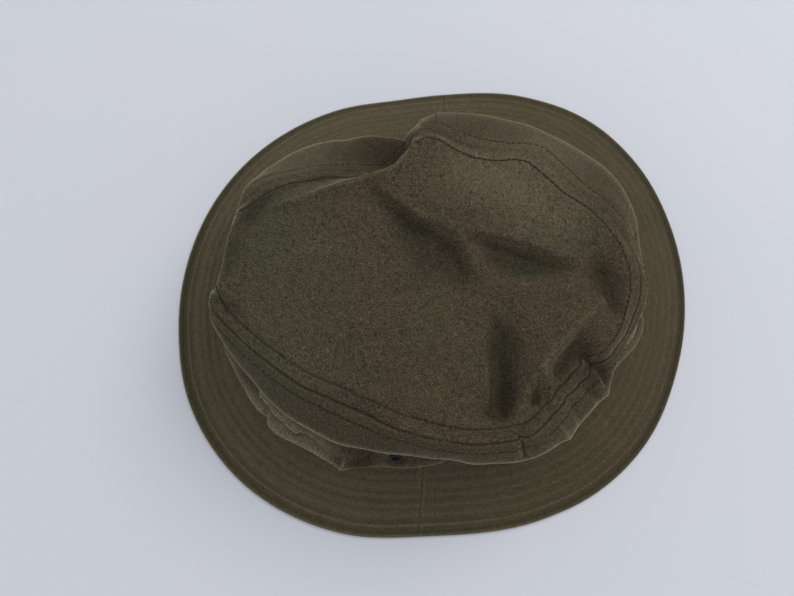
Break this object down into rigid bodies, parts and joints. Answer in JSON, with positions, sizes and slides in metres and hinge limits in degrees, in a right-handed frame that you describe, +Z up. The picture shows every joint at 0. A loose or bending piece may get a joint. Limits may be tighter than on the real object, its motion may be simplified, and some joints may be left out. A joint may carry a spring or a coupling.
{
  "type": "boonie hat",
  "caption": "Soft cotton field hat with an oval tip, a slumped side wall and a wide two-ply brim with concentric rows of stitching.",
  "frame": {"origin": "middle of the hat's footprint on the table, on the plane that the brim rests on", "axes": "+Z up through the crown; +X towards the front of the hat, along its longest side; +Y to the wearer's left"},
  "size_m": [0.291, 0.262, 0.0755],
  "materials": {
    "cotton": "matt olive-drab cotton twill",
    "canvas": "matt undyed canvas",
    "tape": "matt olive cotton tape",
    "thread": "dark olive sewing thread",
    "metal": "dull dark paint",
    "label": "plain woven tape, blank"
  },
  "bodies": {
    "hat": {"brim_lower_back": "cotton", "brim_lower_front": "cotton", "brim_stiffener_back": "canvas", "brim_stiffener_front": "canvas", "brim_stitch_1": "thread", "brim_stitch_2": "thread", "brim_stitch_3": "thread", "brim_stitch_4": "thread", "brim_stitch_5": "thread", "brim_stitch_6": "thread", "brim_stitch_7": "thread", "brim_stitch_8": "thread", "brim_upper_back": "cotton", "brim_upper_front": "cotton", "crown_tip": "cotton", "crown_wall_back": "cotton", "crown_wall_front": "cotton", "eyelet_left_back": "metal", "eyelet_left_front": "metal", "eyelet_right_back": "metal", "eyelet_right_front": "metal", "eyelet_washer_left_back": "metal", "eyelet_washer_left_front": "metal", "eyelet_washer_right_back": "metal", "eyelet_washer_right_front": "metal", "head_seam_topstitch": "thread", "label_stitch": "thread", "side_seam_tape_left": "tape", "side_seam_tape_right": "tape", "side_seam_topstitch_left_back": "thread", "side_seam_topstitch_left_front": "thread", "side_seam_topstitch_right_back": "thread", "side_seam_topstitch_right_front": "thread", "sweatband": "tape", "sweatband_stitch": "thread", "tip_seam_tape": "tape", "tip_topstitch": "thread", "wall_topstitch": "thread"},
    "label": {"size_label": "label"}
  },
  "joints": [
    {"name": "label_flap", "type": "hinge", "parent": "hat", "child": "label", "pos_m": [-0.0952, 0, 0.0455], "axis": [0, -1, 0], "range_deg": [0, 100]}
  ]
}
